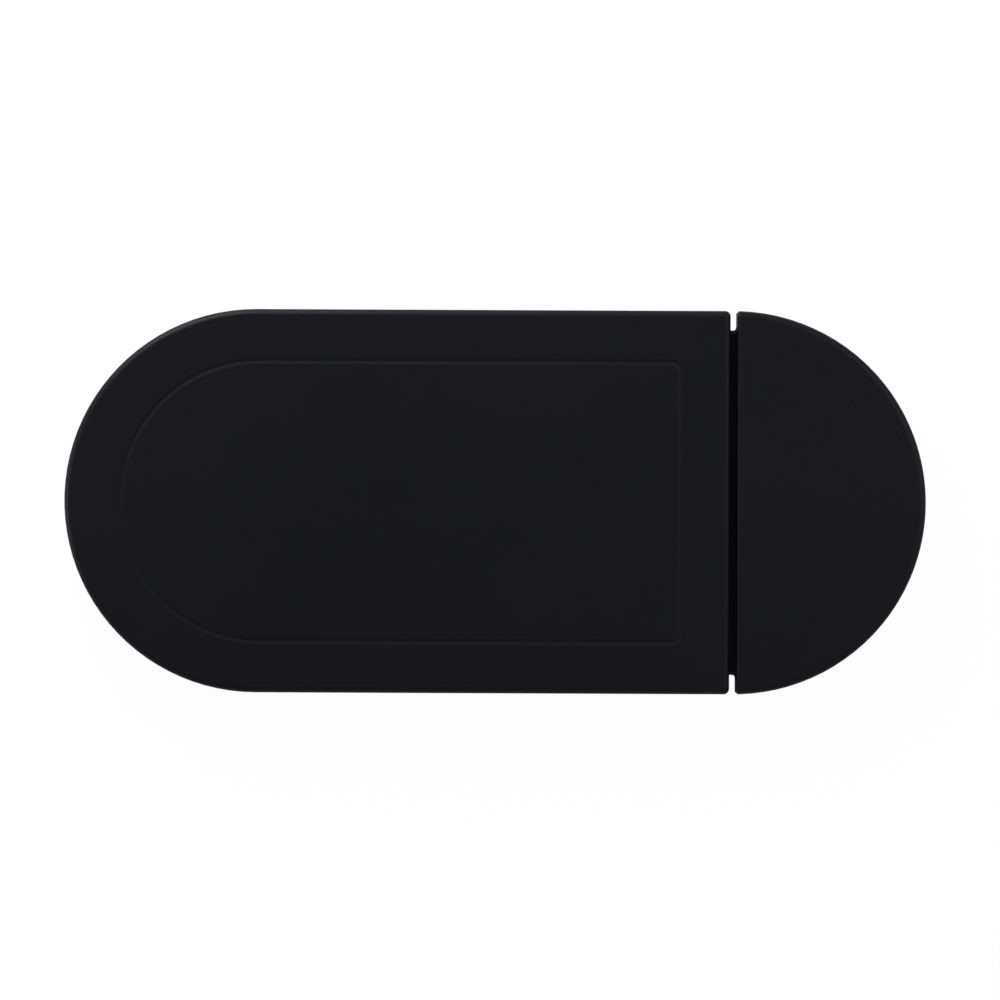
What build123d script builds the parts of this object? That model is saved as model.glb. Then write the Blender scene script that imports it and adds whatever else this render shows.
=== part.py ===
"""Webcam cover slider: a base that is stuck on beside a camera, and a cover that slides along it.

+X runs from the round end of the cover to the end cap, +Z up from the surface the part is stuck on.
The cover is modelled closed. It opens towards -X.
"""

import os

from build123d import *

# Outer form, in millimetres
overall_length = 40.0  # over both round ends, cover closed
overall_width = 17.8  # over the straight sides
cap_length = 8.75  # from the end cap's flat face to its round end
closed_gap = 0.35  # between the closed cover and the end cap
edge_round = 0.3  # top edges round the outside
cover_mouth_round = 0.25  # edges of the cover's square end
cap_face_round = 0.08  # edges of the end cap's flat face

# Adhesive pad
pad_thickness = 0.5
pad_inset = 0.6  # inside the outline of the base
pad_window_margin = 0.5  # round the camera window

# Base
tongue_thickness = 1.4
tongue_chamfer = 0.15  # lead-in round the tongue's upper edge
tongue_root_round = 0.2  # where the tongue runs into the end cap
cap_roof = 1.0  # over the core pockets of the end cap
cap_wall = 1.0  # round the core pockets
cap_rib = 1.0  # between the core pockets
pocket_corner = 0.5

# Camera window in the base
window_diameter = 7.0
window_margin = 1.1  # between the window and the end cap
window_chamfer = 0.3  # round the window's upper edge
uncovered_margin = 0.8  # from the window to the edge of the open cover

# Cover
cover_roof = 1.0
cover_wall = 0.75
side_clearance = 0.125  # between the tongue and the cover's walls
roof_clearance = 0.1  # between the tongue and the cover's roof
rim_lift = 0.1  # the cover's rim over the underside of the base

# Rail slots in the tongue's sides, and the snap ribs of the cover that run in them
rail_height = 0.6
rail_depth = 0.4
rail_end_margin = 0.5  # solid tongue before the left end of a slot
rib_length = 3.0
rib_mouth_margin = 0.75  # between the last rib and the cover's square end
rib_tip = 0.2  # height of a rib at its tip, below which it is sloped to snap in
rib_clearance = 0.075  # above and below a rib
rib_tip_clearance = 0.1  # between a rib's tip and the floor of its slot
stop_clearance = 0.05  # between a rib and the end of its slot

# Fine groove round the top of the cover
groove_side_inset = 2.4  # middle of the groove, from the sides
groove_round_inset = 2.6  # from the round end
groove_square_inset = 2.3  # from the square end
groove_corner = 0.45
groove_width = 0.3
groove_depth = 0.032

# Heights
base_z = pad_thickness
tongue_z = base_z + tongue_thickness
roof_z = tongue_z + roof_clearance
top_z = roof_z + cover_roof
rim_z = base_z + rim_lift
rail_z = base_z + tongue_thickness / 2

# Places along the part
end_radius = overall_width / 2
round_end_x = end_radius - overall_length / 2
cap_centre_x = overall_length / 2 - end_radius
cap_face_x = overall_length / 2 - cap_length
cover_edge_x = cap_face_x - closed_gap
window_x = cap_face_x - window_margin - window_diameter / 2
travel = cover_edge_x - (window_x - window_diameter / 2) + uncovered_margin

# The tongue inside the cover
cavity_radius = end_radius - cover_wall
tongue_radius = cavity_radius - side_clearance

# The round stretch of the groove
groove_radius = end_radius - groove_side_inset
groove_centre_x = groove_round_inset + groove_radius - overall_length / 2

# Two ribs a side, placed on the closed cover.
# The last meets the right end of its slot, and the first the left end after the travel.
rail_start_x = round_end_x + rail_end_margin
rail_end_x = cover_edge_x - rib_mouth_margin + stop_clearance
first_rib_x = rail_start_x + stop_clearance + travel
last_rib_x = rail_end_x - stop_clearance - rib_length


def round_ended_plate(radius, end_x, centre_x=round_end_x):
    """Draw a plate that is round at the left, about centre_x, and square at end_x."""
    with Locations((centre_x, 0)):
        Circle(radius)
        Rectangle(end_x - centre_x, 2 * radius, align=(Align.MIN, Align.CENTER))


def half_disc(radius, face_x):
    """Draw the end cap's half disc of a radius, cut straight at face_x."""
    with Locations((cap_centre_x, 0)):
        Circle(radius)
    with Locations((face_x, 0)):
        Rectangle(2 * radius, 2 * radius, align=(Align.MIN, Align.CENTER), mode=Mode.INTERSECT)


# The base is one moulding: the tongue under the cover and the end cap that stops it.
with BuildPart() as base:
    with BuildSketch(Plane.XY.offset(base_z)):
        round_ended_plate(tongue_radius, cap_face_x + cap_wall)
    extrude(amount=tongue_thickness)
    chamfer(base.faces().sort_by(Axis.Z)[-1].edges(), length=tongue_chamfer)

    with BuildSketch(Plane.XY.offset(base_z)):
        half_disc(end_radius, cap_face_x)
    extrude(amount=top_z - base_z)
    cap_rim = base.faces().sort_by(Axis.Z)[-1].edges()
    fillet(cap_rim.filter_by(GeomType.CIRCLE), radius=edge_round)
    cap_lip = base.faces().sort_by(Axis.Z)[-1].edges().filter_by(Axis.Y)
    fillet(cap_lip, radius=cap_face_round)
    uprights = base.edges().filter_by(Axis.Z).filter_by_position(Axis.X, cover_edge_x, cap_face_x + cap_wall)
    tongue_roots = uprights.filter_by_position(Axis.Y, -cavity_radius, cavity_radius)
    fillet(tongue_roots, radius=tongue_root_round)

    # Core pockets keep the end cap's walls even.
    with BuildSketch(Plane.XY.offset(base_z)) as pockets:
        half_disc(end_radius - cap_wall, cap_face_x + cap_wall)
        Rectangle(overall_length, cap_rib, mode=Mode.SUBTRACT)
        fillet(pockets.vertices(), radius=pocket_corner)
    extrude(amount=top_z - cap_roof - base_z, mode=Mode.SUBTRACT)

    with Locations((window_x, 0, tongue_z)):
        Hole(window_diameter / 2)
    window_rim = base.edges(Select.LAST).filter_by(GeomType.CIRCLE).sort_by(Axis.Z)[-1]
    chamfer(window_rim, length=window_chamfer)

    # The slots are closed at both ends, where they stop the ribs.
    with BuildSketch(Plane.XY.offset(rail_z - rail_height / 2)):
        with Locations(((rail_start_x + rail_end_x) / 2, 0)):
            with GridLocations(0, 2 * tongue_radius, 1, 2):
                Rectangle(rail_end_x - rail_start_x, 2 * rail_depth)
    extrude(amount=rail_height, mode=Mode.SUBTRACT)

# The cover is one moulded shell, open below and at its square end.
with BuildPart() as slider_cover:
    with BuildSketch(Plane.XY.offset(rim_z)):
        round_ended_plate(end_radius, cover_edge_x)
    extrude(amount=top_z - rim_z)
    cover_rim = slider_cover.faces().sort_by(Axis.Z)[-1].edges()
    fillet(cover_rim.filter_by(Axis.Y, reverse=True), radius=edge_round)
    cover_lip = slider_cover.faces().sort_by(Axis.Z)[-1].edges().filter_by(Axis.Y)
    fillet(cover_lip, radius=cover_mouth_round)

    with BuildSketch(Plane.XY.offset(rim_z)):
        round_ended_plate(cavity_radius, cover_edge_x)
    extrude(amount=roof_z - rim_z, mode=Mode.SUBTRACT)

    rib_tip_y = tongue_radius - rail_depth + rib_tip_clearance
    rib_top_z = rail_z + rail_height / 2 - rib_clearance
    rib_low_z = rail_z - rail_height / 2 + rib_clearance
    rib_root_y = cavity_radius + cover_wall / 2
    for rib_x in (first_rib_x, last_rib_x):
        with BuildSketch(Plane.YZ.offset(rib_x)):
            with BuildLine():
                Polyline(
                    (rib_root_y, rib_low_z),
                    (cavity_radius, rib_low_z),
                    (rib_tip_y, rib_top_z - rib_tip),
                    (rib_tip_y, rib_top_z),
                    (rib_root_y, rib_top_z),
                    close=True,
                )
            make_face()
            mirror(about=Plane.YZ)
        extrude(amount=rib_length)

    # A V cutter, sunk by half its height
    with BuildSketch(Plane.XY.offset(top_z), mode=Mode.PRIVATE) as groove_outline:
        round_ended_plate(groove_radius, cover_edge_x - groove_square_inset, groove_centre_x)
        fillet(groove_outline.vertices().group_by(Axis.X)[-1], radius=groove_corner)
    groove_path = groove_outline.sketch.face().outer_wire()
    with BuildSketch(Plane(origin=groove_path @ 0, x_dir=(0, 0, 1), z_dir=groove_path % 0)):
        with BuildLine():
            Polyline(
                (-groove_depth, 0),
                (groove_depth, groove_width),
                (groove_depth, -groove_width),
                close=True,
            )
        make_face()
    sweep(path=groove_path, mode=Mode.SUBTRACT)

# The double-sided foam pad follows the base and leaves the camera window clear.
with BuildPart() as adhesive_pad:
    with BuildSketch():
        half_disc(end_radius - pad_inset, cap_face_x + pad_inset)
        round_ended_plate(tongue_radius - pad_inset, cap_face_x + cap_wall)
        with Locations((window_x, 0)):
            Circle(window_diameter / 2 + pad_window_margin, mode=Mode.SUBTRACT)
    extrude(amount=pad_thickness)

base.part.label = "base"
slider_cover.part.label = "slider_cover"
adhesive_pad.part.label = "adhesive_pad"

os.makedirs("parts", exist_ok=True)
for piece in (base, slider_cover, adhesive_pad):
    export_step(piece.part, f"parts/{piece.part.label}.step")

print(f"travel of the cover {travel:.3f} mm, camera window at x {window_x:.3f} mm, height {top_z:.3f} mm")
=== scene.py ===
"""Looks of the webcam cover slider: matte moulded plastic over white foam tape, seen from straight above.

Lengths are in metres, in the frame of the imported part.
"""

import math

import bmesh
import bpy
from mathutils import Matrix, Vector


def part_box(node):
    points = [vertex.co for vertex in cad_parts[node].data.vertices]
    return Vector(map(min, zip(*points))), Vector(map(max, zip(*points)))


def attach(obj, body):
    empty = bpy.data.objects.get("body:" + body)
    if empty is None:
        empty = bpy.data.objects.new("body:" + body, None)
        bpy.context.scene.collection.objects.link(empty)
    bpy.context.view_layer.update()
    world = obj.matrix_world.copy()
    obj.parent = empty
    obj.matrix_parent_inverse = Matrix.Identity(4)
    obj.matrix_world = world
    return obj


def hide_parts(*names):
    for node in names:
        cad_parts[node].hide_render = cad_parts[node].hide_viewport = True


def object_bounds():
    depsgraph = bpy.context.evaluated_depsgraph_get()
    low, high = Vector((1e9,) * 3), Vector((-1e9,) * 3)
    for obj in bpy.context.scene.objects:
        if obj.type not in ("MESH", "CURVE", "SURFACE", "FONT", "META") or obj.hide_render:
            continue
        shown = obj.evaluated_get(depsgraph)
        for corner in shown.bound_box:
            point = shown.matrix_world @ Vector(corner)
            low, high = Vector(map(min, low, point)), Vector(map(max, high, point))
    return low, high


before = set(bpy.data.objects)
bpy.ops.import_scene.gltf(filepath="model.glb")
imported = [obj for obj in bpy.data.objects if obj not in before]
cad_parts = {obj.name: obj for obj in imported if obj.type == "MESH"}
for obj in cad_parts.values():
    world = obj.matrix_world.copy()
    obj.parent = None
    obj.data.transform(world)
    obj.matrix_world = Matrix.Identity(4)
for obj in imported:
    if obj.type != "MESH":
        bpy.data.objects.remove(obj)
cad_low, cad_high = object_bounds()

MM = 0.001

part_length = cad_high.x - cad_low.x
part_centre = (cad_low + cad_high) / 2

# The photo's framing: where the part's outline lies in its square frame
photo_px = 1000
part_left_px = 64.4
part_right_px = 925.8
part_middle_px = 501.7  # down the picture
camera_lens = 200.0  # long, because the photo shows next to no perspective
outline_drop = 0.3 * MM  # the widest outline lies below the rounded top edge
camera_roll = math.radians(0.25)  # the part lies a little askew in the photo

# Foam pad
foam_edge_round = 0.06 * MM  # where the die rounds the cut edge over
foam_bulge = 0.05 * MM  # of the pressed core beyond its cut edge
foam_rows = 6  # of faces up the cut edge
foam_rim_segments = 3
foam_rim_profile = 0.5  # an even round
foam_rim_angle = math.radians(60)  # sharper edges are rounded over
foam_level_normal = 0.99  # faces that point straighter up or down are shaded flat
weld_distance = 0.001 * MM
plane_angle = math.radians(0.5)  # faces that differ by less are joined

# Textures
noise_low = 0.3  # most of a noise's values lie between these two
noise_high = 0.7
cloud_size = 7.0 * MM  # of the slow changes in tone and gloss
cloud_detail = 3

# Plastic
plastic_dark = (0.0042, 0.0045, 0.0085)
plastic_light = (0.0048, 0.0051, 0.0093)
plastic_specular = 0.2
plastic_roughness = (0.42, 0.46)
plastic_grain = 0.1 * MM
plastic_grain_detail = 2
plastic_grain_depth = 0.022 * MM
plastic_grain_strength = 0.5

# Foam
foam_shade = (0.66, 0.66, 0.63)
foam_light = (0.78, 0.78, 0.75)
foam_roughness = (0.5, 0.7)
foam_cell = 0.12 * MM
foam_cell_depth = 0.02 * MM
foam_cell_strength = 0.6

# Light
floor_size = 60 * part_length
floor_white = 0.9
floor_glow = 1.02  # just enough for the lit floor to show white
floor_glow_share = 0.95  # the rest of the tone comes from light, and keeps the shadow
world_level = 0.28


def new_material(name):
    """Return a material with its node tree and its main shader."""
    material = bpy.data.materials.new(name)
    material.use_nodes = True
    tree = material.node_tree
    return material, tree, tree.nodes["Principled BSDF"]


def add_node(tree, kind, **settings):
    """Add a shader node. Settings that name an input set its value, the others set a property."""
    node = tree.nodes.new(kind)
    for key, value in settings.items():
        if key in node.inputs:
            node.inputs[key].default_value = value
        else:
            setattr(node, key, value)
    return node


def noise(tree, place, size, detail):
    """Return the value of a noise whose features have a size."""
    texture = add_node(tree, "ShaderNodeTexNoise", Scale=1 / size, Detail=detail)
    tree.links.new(place, texture.inputs["Vector"])
    return texture.outputs["Fac"]


def remap(tree, value, low, high):
    """Spread the middle of a noise's values from low to high."""
    node = tree.nodes.new("ShaderNodeMapRange")
    settings = {"From Min": noise_low, "From Max": noise_high, "To Min": low, "To Max": high}
    for name, setting in settings.items():
        node.inputs[name].default_value = setting
    tree.links.new(value, node.inputs["Value"])
    return node.outputs["Result"]


def blend_colours(tree, value, low, high):
    """Blend two colours by a noise's value."""
    ramp = tree.nodes.new("ShaderNodeValToRGB")
    first, last = ramp.color_ramp.elements
    first.position, last.position = noise_low, noise_high
    first.color, last.color = (*low, 1), (*high, 1)
    tree.links.new(value, ramp.inputs["Fac"])
    return ramp.outputs["Color"]


def bump(tree, height, distance, strength):
    """Return the normal of a surface with a height map."""
    node = add_node(tree, "ShaderNodeBump", Strength=strength, Distance=distance)
    tree.links.new(height, node.inputs["Height"])
    return node.outputs["Normal"]


def moulded_plastic():
    """Black plastic with the fine matte grain of its mould."""
    material, tree, shader = new_material("moulded_plastic")
    place = tree.nodes.new("ShaderNodeTexCoord").outputs["Object"]
    cloud = noise(tree, place, cloud_size, cloud_detail)
    grain = noise(tree, place, plastic_grain, plastic_grain_detail)
    grain_normal = bump(tree, grain, plastic_grain_depth, plastic_grain_strength)
    tree.links.new(blend_colours(tree, cloud, plastic_dark, plastic_light), shader.inputs["Base Color"])
    tree.links.new(remap(tree, cloud, *plastic_roughness), shader.inputs["Roughness"])
    tree.links.new(grain_normal, shader.inputs["Normal"])
    shader.inputs["Specular IOR Level"].default_value = plastic_specular
    return material


def foam():
    """White closed-cell foam."""
    material, tree, shader = new_material("white_foam")
    place = tree.nodes.new("ShaderNodeTexCoord").outputs["Object"]
    cells = add_node(tree, "ShaderNodeTexVoronoi", Scale=1 / foam_cell)
    tree.links.new(place, cells.inputs["Vector"])
    cell_normal = bump(tree, cells.outputs["Distance"], foam_cell_depth, foam_cell_strength)
    cloud = noise(tree, place, cloud_size, cloud_detail)
    tree.links.new(blend_colours(tree, cloud, foam_shade, foam_light), shader.inputs["Base Color"])
    tree.links.new(remap(tree, cloud, *foam_roughness), shader.inputs["Roughness"])
    tree.links.new(cell_normal, shader.inputs["Normal"])
    return material


def pad_shape():
    """The solid pad's faces, with rows of points up its cut edge."""
    shape = bmesh.new()
    shape.from_mesh(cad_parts["adhesive_pad"].data)
    bmesh.ops.remove_doubles(shape, verts=shape.verts, dist=weld_distance)
    bmesh.ops.dissolve_limit(shape, angle_limit=plane_angle, verts=shape.verts, edges=shape.edges)
    uprights = [edge for edge in shape.edges if abs(edge.verts[0].co.z - edge.verts[1].co.z) > weld_distance]
    bmesh.ops.subdivide_edges(shape, edges=uprights, cuts=foam_rows - 1, use_grid_fill=True)
    shape.normal_update()
    return shape


def foam_pad(material):
    """The die-cut pad: its core bulges a little, and its cut edges are rounded over."""
    low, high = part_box("adhesive_pad")
    shape = pad_shape()
    outward = {vertex: Vector((vertex.normal.x, vertex.normal.y, 0)).normalized() for vertex in shape.verts}
    for vertex, away in outward.items():
        rise = (vertex.co.z - low.z) / (high.z - low.z)
        vertex.co += away * foam_bulge * math.sin(math.pi * rise)
    rims = [edge for edge in shape.edges if edge.calc_face_angle(0) > foam_rim_angle]
    bmesh.ops.bevel(
        shape,
        geom=rims,
        offset=foam_edge_round,
        segments=foam_rim_segments,
        profile=foam_rim_profile,
        affect="EDGES",
    )
    for face in shape.faces:
        face.smooth = abs(face.normal.z) < foam_level_normal
    mesh = bpy.data.meshes.new("foam_pad")
    shape.to_mesh(mesh)
    shape.free()
    mesh.materials.append(material)
    pad = bpy.data.objects.new("foam_pad", mesh)
    bpy.context.scene.collection.objects.link(pad)
    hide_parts("adhesive_pad")
    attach(pad, "base")


def set_plastic(material):
    """Give the two mouldings their plastic."""
    for name in ("base", "slider_cover"):
        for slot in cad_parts[name].material_slots:
            slot.material = material


def make_floor():
    """A white floor that shows white and keeps a faint shadow."""
    bpy.ops.mesh.primitive_plane_add(size=floor_size, location=(part_centre.x, part_centre.y, cad_low.z))
    floor = bpy.context.object
    floor.name = "floor"
    material, tree, shader = new_material("floor_white")
    shader.inputs["Base Color"].default_value = (floor_white, floor_white, floor_white, 1)
    shader.inputs["Roughness"].default_value = 1
    shader.inputs["Specular IOR Level"].default_value = 0
    glow = add_node(tree, "ShaderNodeEmission", Strength=floor_glow)
    share = add_node(tree, "ShaderNodeMath", operation="MULTIPLY")
    share.inputs[1].default_value = floor_glow_share
    path = tree.nodes.new("ShaderNodeLightPath")
    tree.links.new(path.outputs["Is Camera Ray"], share.inputs[0])
    mix = tree.nodes.new("ShaderNodeMixShader")
    tree.links.new(share.outputs[0], mix.inputs["Fac"])
    tree.links.new(shader.outputs["BSDF"], mix.inputs[1])
    tree.links.new(glow.outputs["Emission"], mix.inputs[2])
    tree.links.new(mix.outputs["Shader"], tree.nodes["Material Output"].inputs["Surface"])
    floor.data.materials.append(material)


def make_world():
    """Dim light from all round, behind a white that only shows."""
    world = bpy.data.worlds.new("studio")
    bpy.context.scene.world = world
    world.use_nodes = True
    tree = world.node_tree
    white = (1, 1, 1, 1)
    lit = tree.nodes["Background"]
    lit.inputs["Color"].default_value = white
    lit.inputs["Strength"].default_value = world_level
    shown = add_node(tree, "ShaderNodeBackground", Color=white, Strength=1)
    path = tree.nodes.new("ShaderNodeLightPath")
    mix = tree.nodes.new("ShaderNodeMixShader")
    tree.links.new(path.outputs["Is Camera Ray"], mix.inputs["Fac"])
    tree.links.new(lit.outputs["Background"], mix.inputs[1])
    tree.links.new(shown.outputs["Background"], mix.inputs[2])
    tree.links.new(mix.outputs["Shader"], tree.nodes["World Output"].inputs["Surface"])


def add_lamp(name, bearing, elevation, distance, size, irradiance):
    """A soft square lamp that faces the part. Bearing runs from +X towards +Y, in degrees.

    Distance and size are in lengths of the part.
    """
    light = bpy.data.lights.new(name, "AREA")
    light.shape = "SQUARE"
    light.size = size * part_length
    light.energy = irradiance * math.pi * (distance * part_length) ** 2
    lamp = bpy.data.objects.new(name, light)
    turn, rise = math.radians(bearing), math.radians(elevation)
    away = Vector((math.cos(turn) * math.cos(rise), math.sin(turn) * math.cos(rise), math.sin(rise)))
    lamp.location = part_centre + away * distance * part_length
    lamp.rotation_euler = away.to_track_quat("Z", "Y").to_euler()
    bpy.context.scene.collection.objects.link(lamp)


def make_camera():
    """Look straight down, with the part where the photo has it."""
    camera_data = bpy.data.cameras.new("camera")
    camera_data.lens = camera_lens
    camera = bpy.data.objects.new("camera", camera_data)
    metres_per_px = part_length / (part_right_px - part_left_px)
    aside = photo_px / 2 - (part_left_px + part_right_px) / 2
    down = photo_px / 2 - part_middle_px
    distance = photo_px * metres_per_px * camera_lens / camera_data.sensor_width
    camera.location = (
        part_centre.x + aside * metres_per_px,
        part_centre.y - down * metres_per_px,
        cad_high.z - outline_drop + distance,
    )
    camera.rotation_euler = (0, 0, camera_roll)
    bpy.context.scene.collection.objects.link(camera)
    bpy.context.scene.camera = camera


set_plastic(moulded_plastic())
foam_pad(foam())
make_floor()
make_world()
add_lamp("upper_left", bearing=118, elevation=24, distance=2.5, size=1.7, irradiance=2.4)
add_lamp("upper_right", bearing=45, elevation=50, distance=4, size=0.8, irradiance=0.25)
add_lamp("right", bearing=10, elevation=35, distance=1.8, size=1.2, irradiance=0.4)
add_lamp("left", bearing=180, elevation=18, distance=2.5, size=1, irradiance=0.5)
add_lamp("near_side", bearing=285, elevation=30, distance=4, size=3, irradiance=0.1)
make_camera()
bpy.context.scene.view_settings.view_transform = "Standard"
